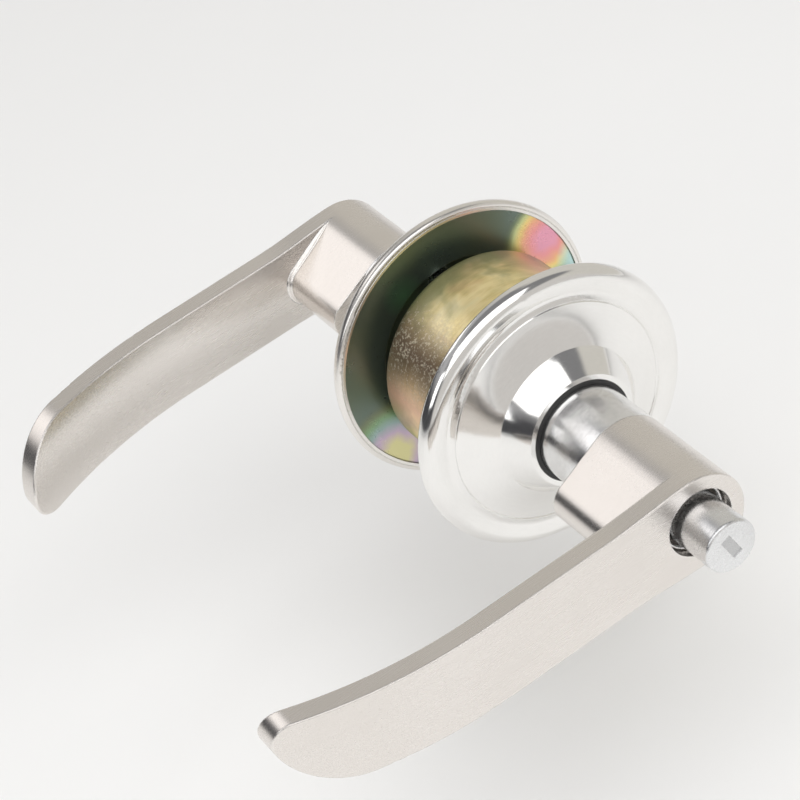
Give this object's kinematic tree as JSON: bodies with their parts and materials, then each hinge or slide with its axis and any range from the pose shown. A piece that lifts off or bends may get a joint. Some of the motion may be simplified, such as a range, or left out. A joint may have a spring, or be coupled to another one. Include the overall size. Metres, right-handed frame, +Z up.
{
  "type": "door lever handle set",
  "caption": "Bored door lock set: levers on both sides on round roses, a cylindrical chassis between them and a push button.",
  "frame": {"origin": "on the spindle axis, at the middle of the door's thickness and of the chassis", "axes": "Y runs along the spindle, with the inside (button) half at -Y and the outside half at +Y; the levers reach towards -X; +Z is up"},
  "size_m": [0.1408, 0.1651, 0.072],
  "materials": {
    "satin_nickel": "satin nickel plate, fine brushed grain along the blade",
    "polished_steel": "polished stainless steel with faint turning lines",
    "satin_steel": "satin steel, circular brushed grain",
    "black_nylon": "matt black nylon",
    "gold_chromate": "yellow zinc chromate passivation, patchy and speckled",
    "liner_chromate": "dark olive zinc chromate with rainbow patches",
    "turned_steel": "turned steel with fine tool marks",
    "spring_steel": "drawn spring wire"
  },
  "bodies": {
    "lock_body": {"chassis_case": "gold_chromate", "chassis_cap": "gold_chromate", "retractor_frame": "turned_steel", "inside_hub_tube": "gold_chromate", "outside_hub_tube": "gold_chromate", "inside_liner": "liner_chromate", "outside_liner": "liner_chromate", "inside_rose": "polished_steel", "outside_rose": "satin_steel", "inside_neck_bush": "black_nylon", "outside_neck_bush": "black_nylon", "inside_return_spring": "spring_steel", "outside_return_spring": "spring_steel", "bolt_posts": "turned_steel", "through_bolts": "turned_steel"},
    "retractor": {"retractor": "turned_steel", "retractor_springs": "spring_steel"},
    "inside_handle": {"inside_lever": "satin_nickel", "inside_sleeve": "polished_steel", "inside_cam": "turned_steel", "inside_lever_catch": "turned_steel", "button_guide": "turned_steel", "spring_seat": "turned_steel"},
    "outside_handle": {"outside_lever": "satin_nickel", "outside_sleeve": "polished_steel", "outside_cam": "turned_steel", "outside_lever_catch": "turned_steel", "release_plug": "turned_steel"},
    "button": {"push_button": "turned_steel", "button_rod": "turned_steel", "button_spring": "spring_steel"},
    "locking_plunger": {"locking_plunger": "turned_steel"}
  },
  "joints": [
    {"name": "inside_lever_turn", "type": "hinge", "parent": "lock_body", "child": "inside_handle", "pos_m": [0, 0, 0], "axis": [0, -1, 0], "range_deg": [0, 50], "stiffness_Nm_per_rad": 0.8, "springref_deg": -34.38},
    {"name": "outside_lever_turn", "type": "hinge", "parent": "lock_body", "child": "outside_handle", "pos_m": [0, 0, 0], "axis": [0, -1, 0], "range_deg": [0, 50], "stiffness_Nm_per_rad": 0.8, "springref_deg": -34.38},
    {"name": "retractor_slide", "type": "slide", "parent": "lock_body", "child": "retractor", "axis": [-1, 0, 0], "range_m": [0, 0.0105]},
    {"name": "button_press", "type": "slide", "parent": "inside_handle", "child": "button", "axis": [0, 1, 0], "range_m": [0, 0.005], "stiffness_N_per_m": 400, "springref_m": -0.008},
    {"name": "plunger_slide", "type": "slide", "parent": "outside_handle", "child": "locking_plunger", "axis": [0, 1, 0], "range_m": [0, 0.005]}
  ],
  "couplings": [
    {"joint": "retractor_slide", "follows": "inside_lever_turn", "m_per_rad": 0.01203},
    {"joint": "plunger_slide", "follows": "button_press", "ratio": 1}
  ]
}
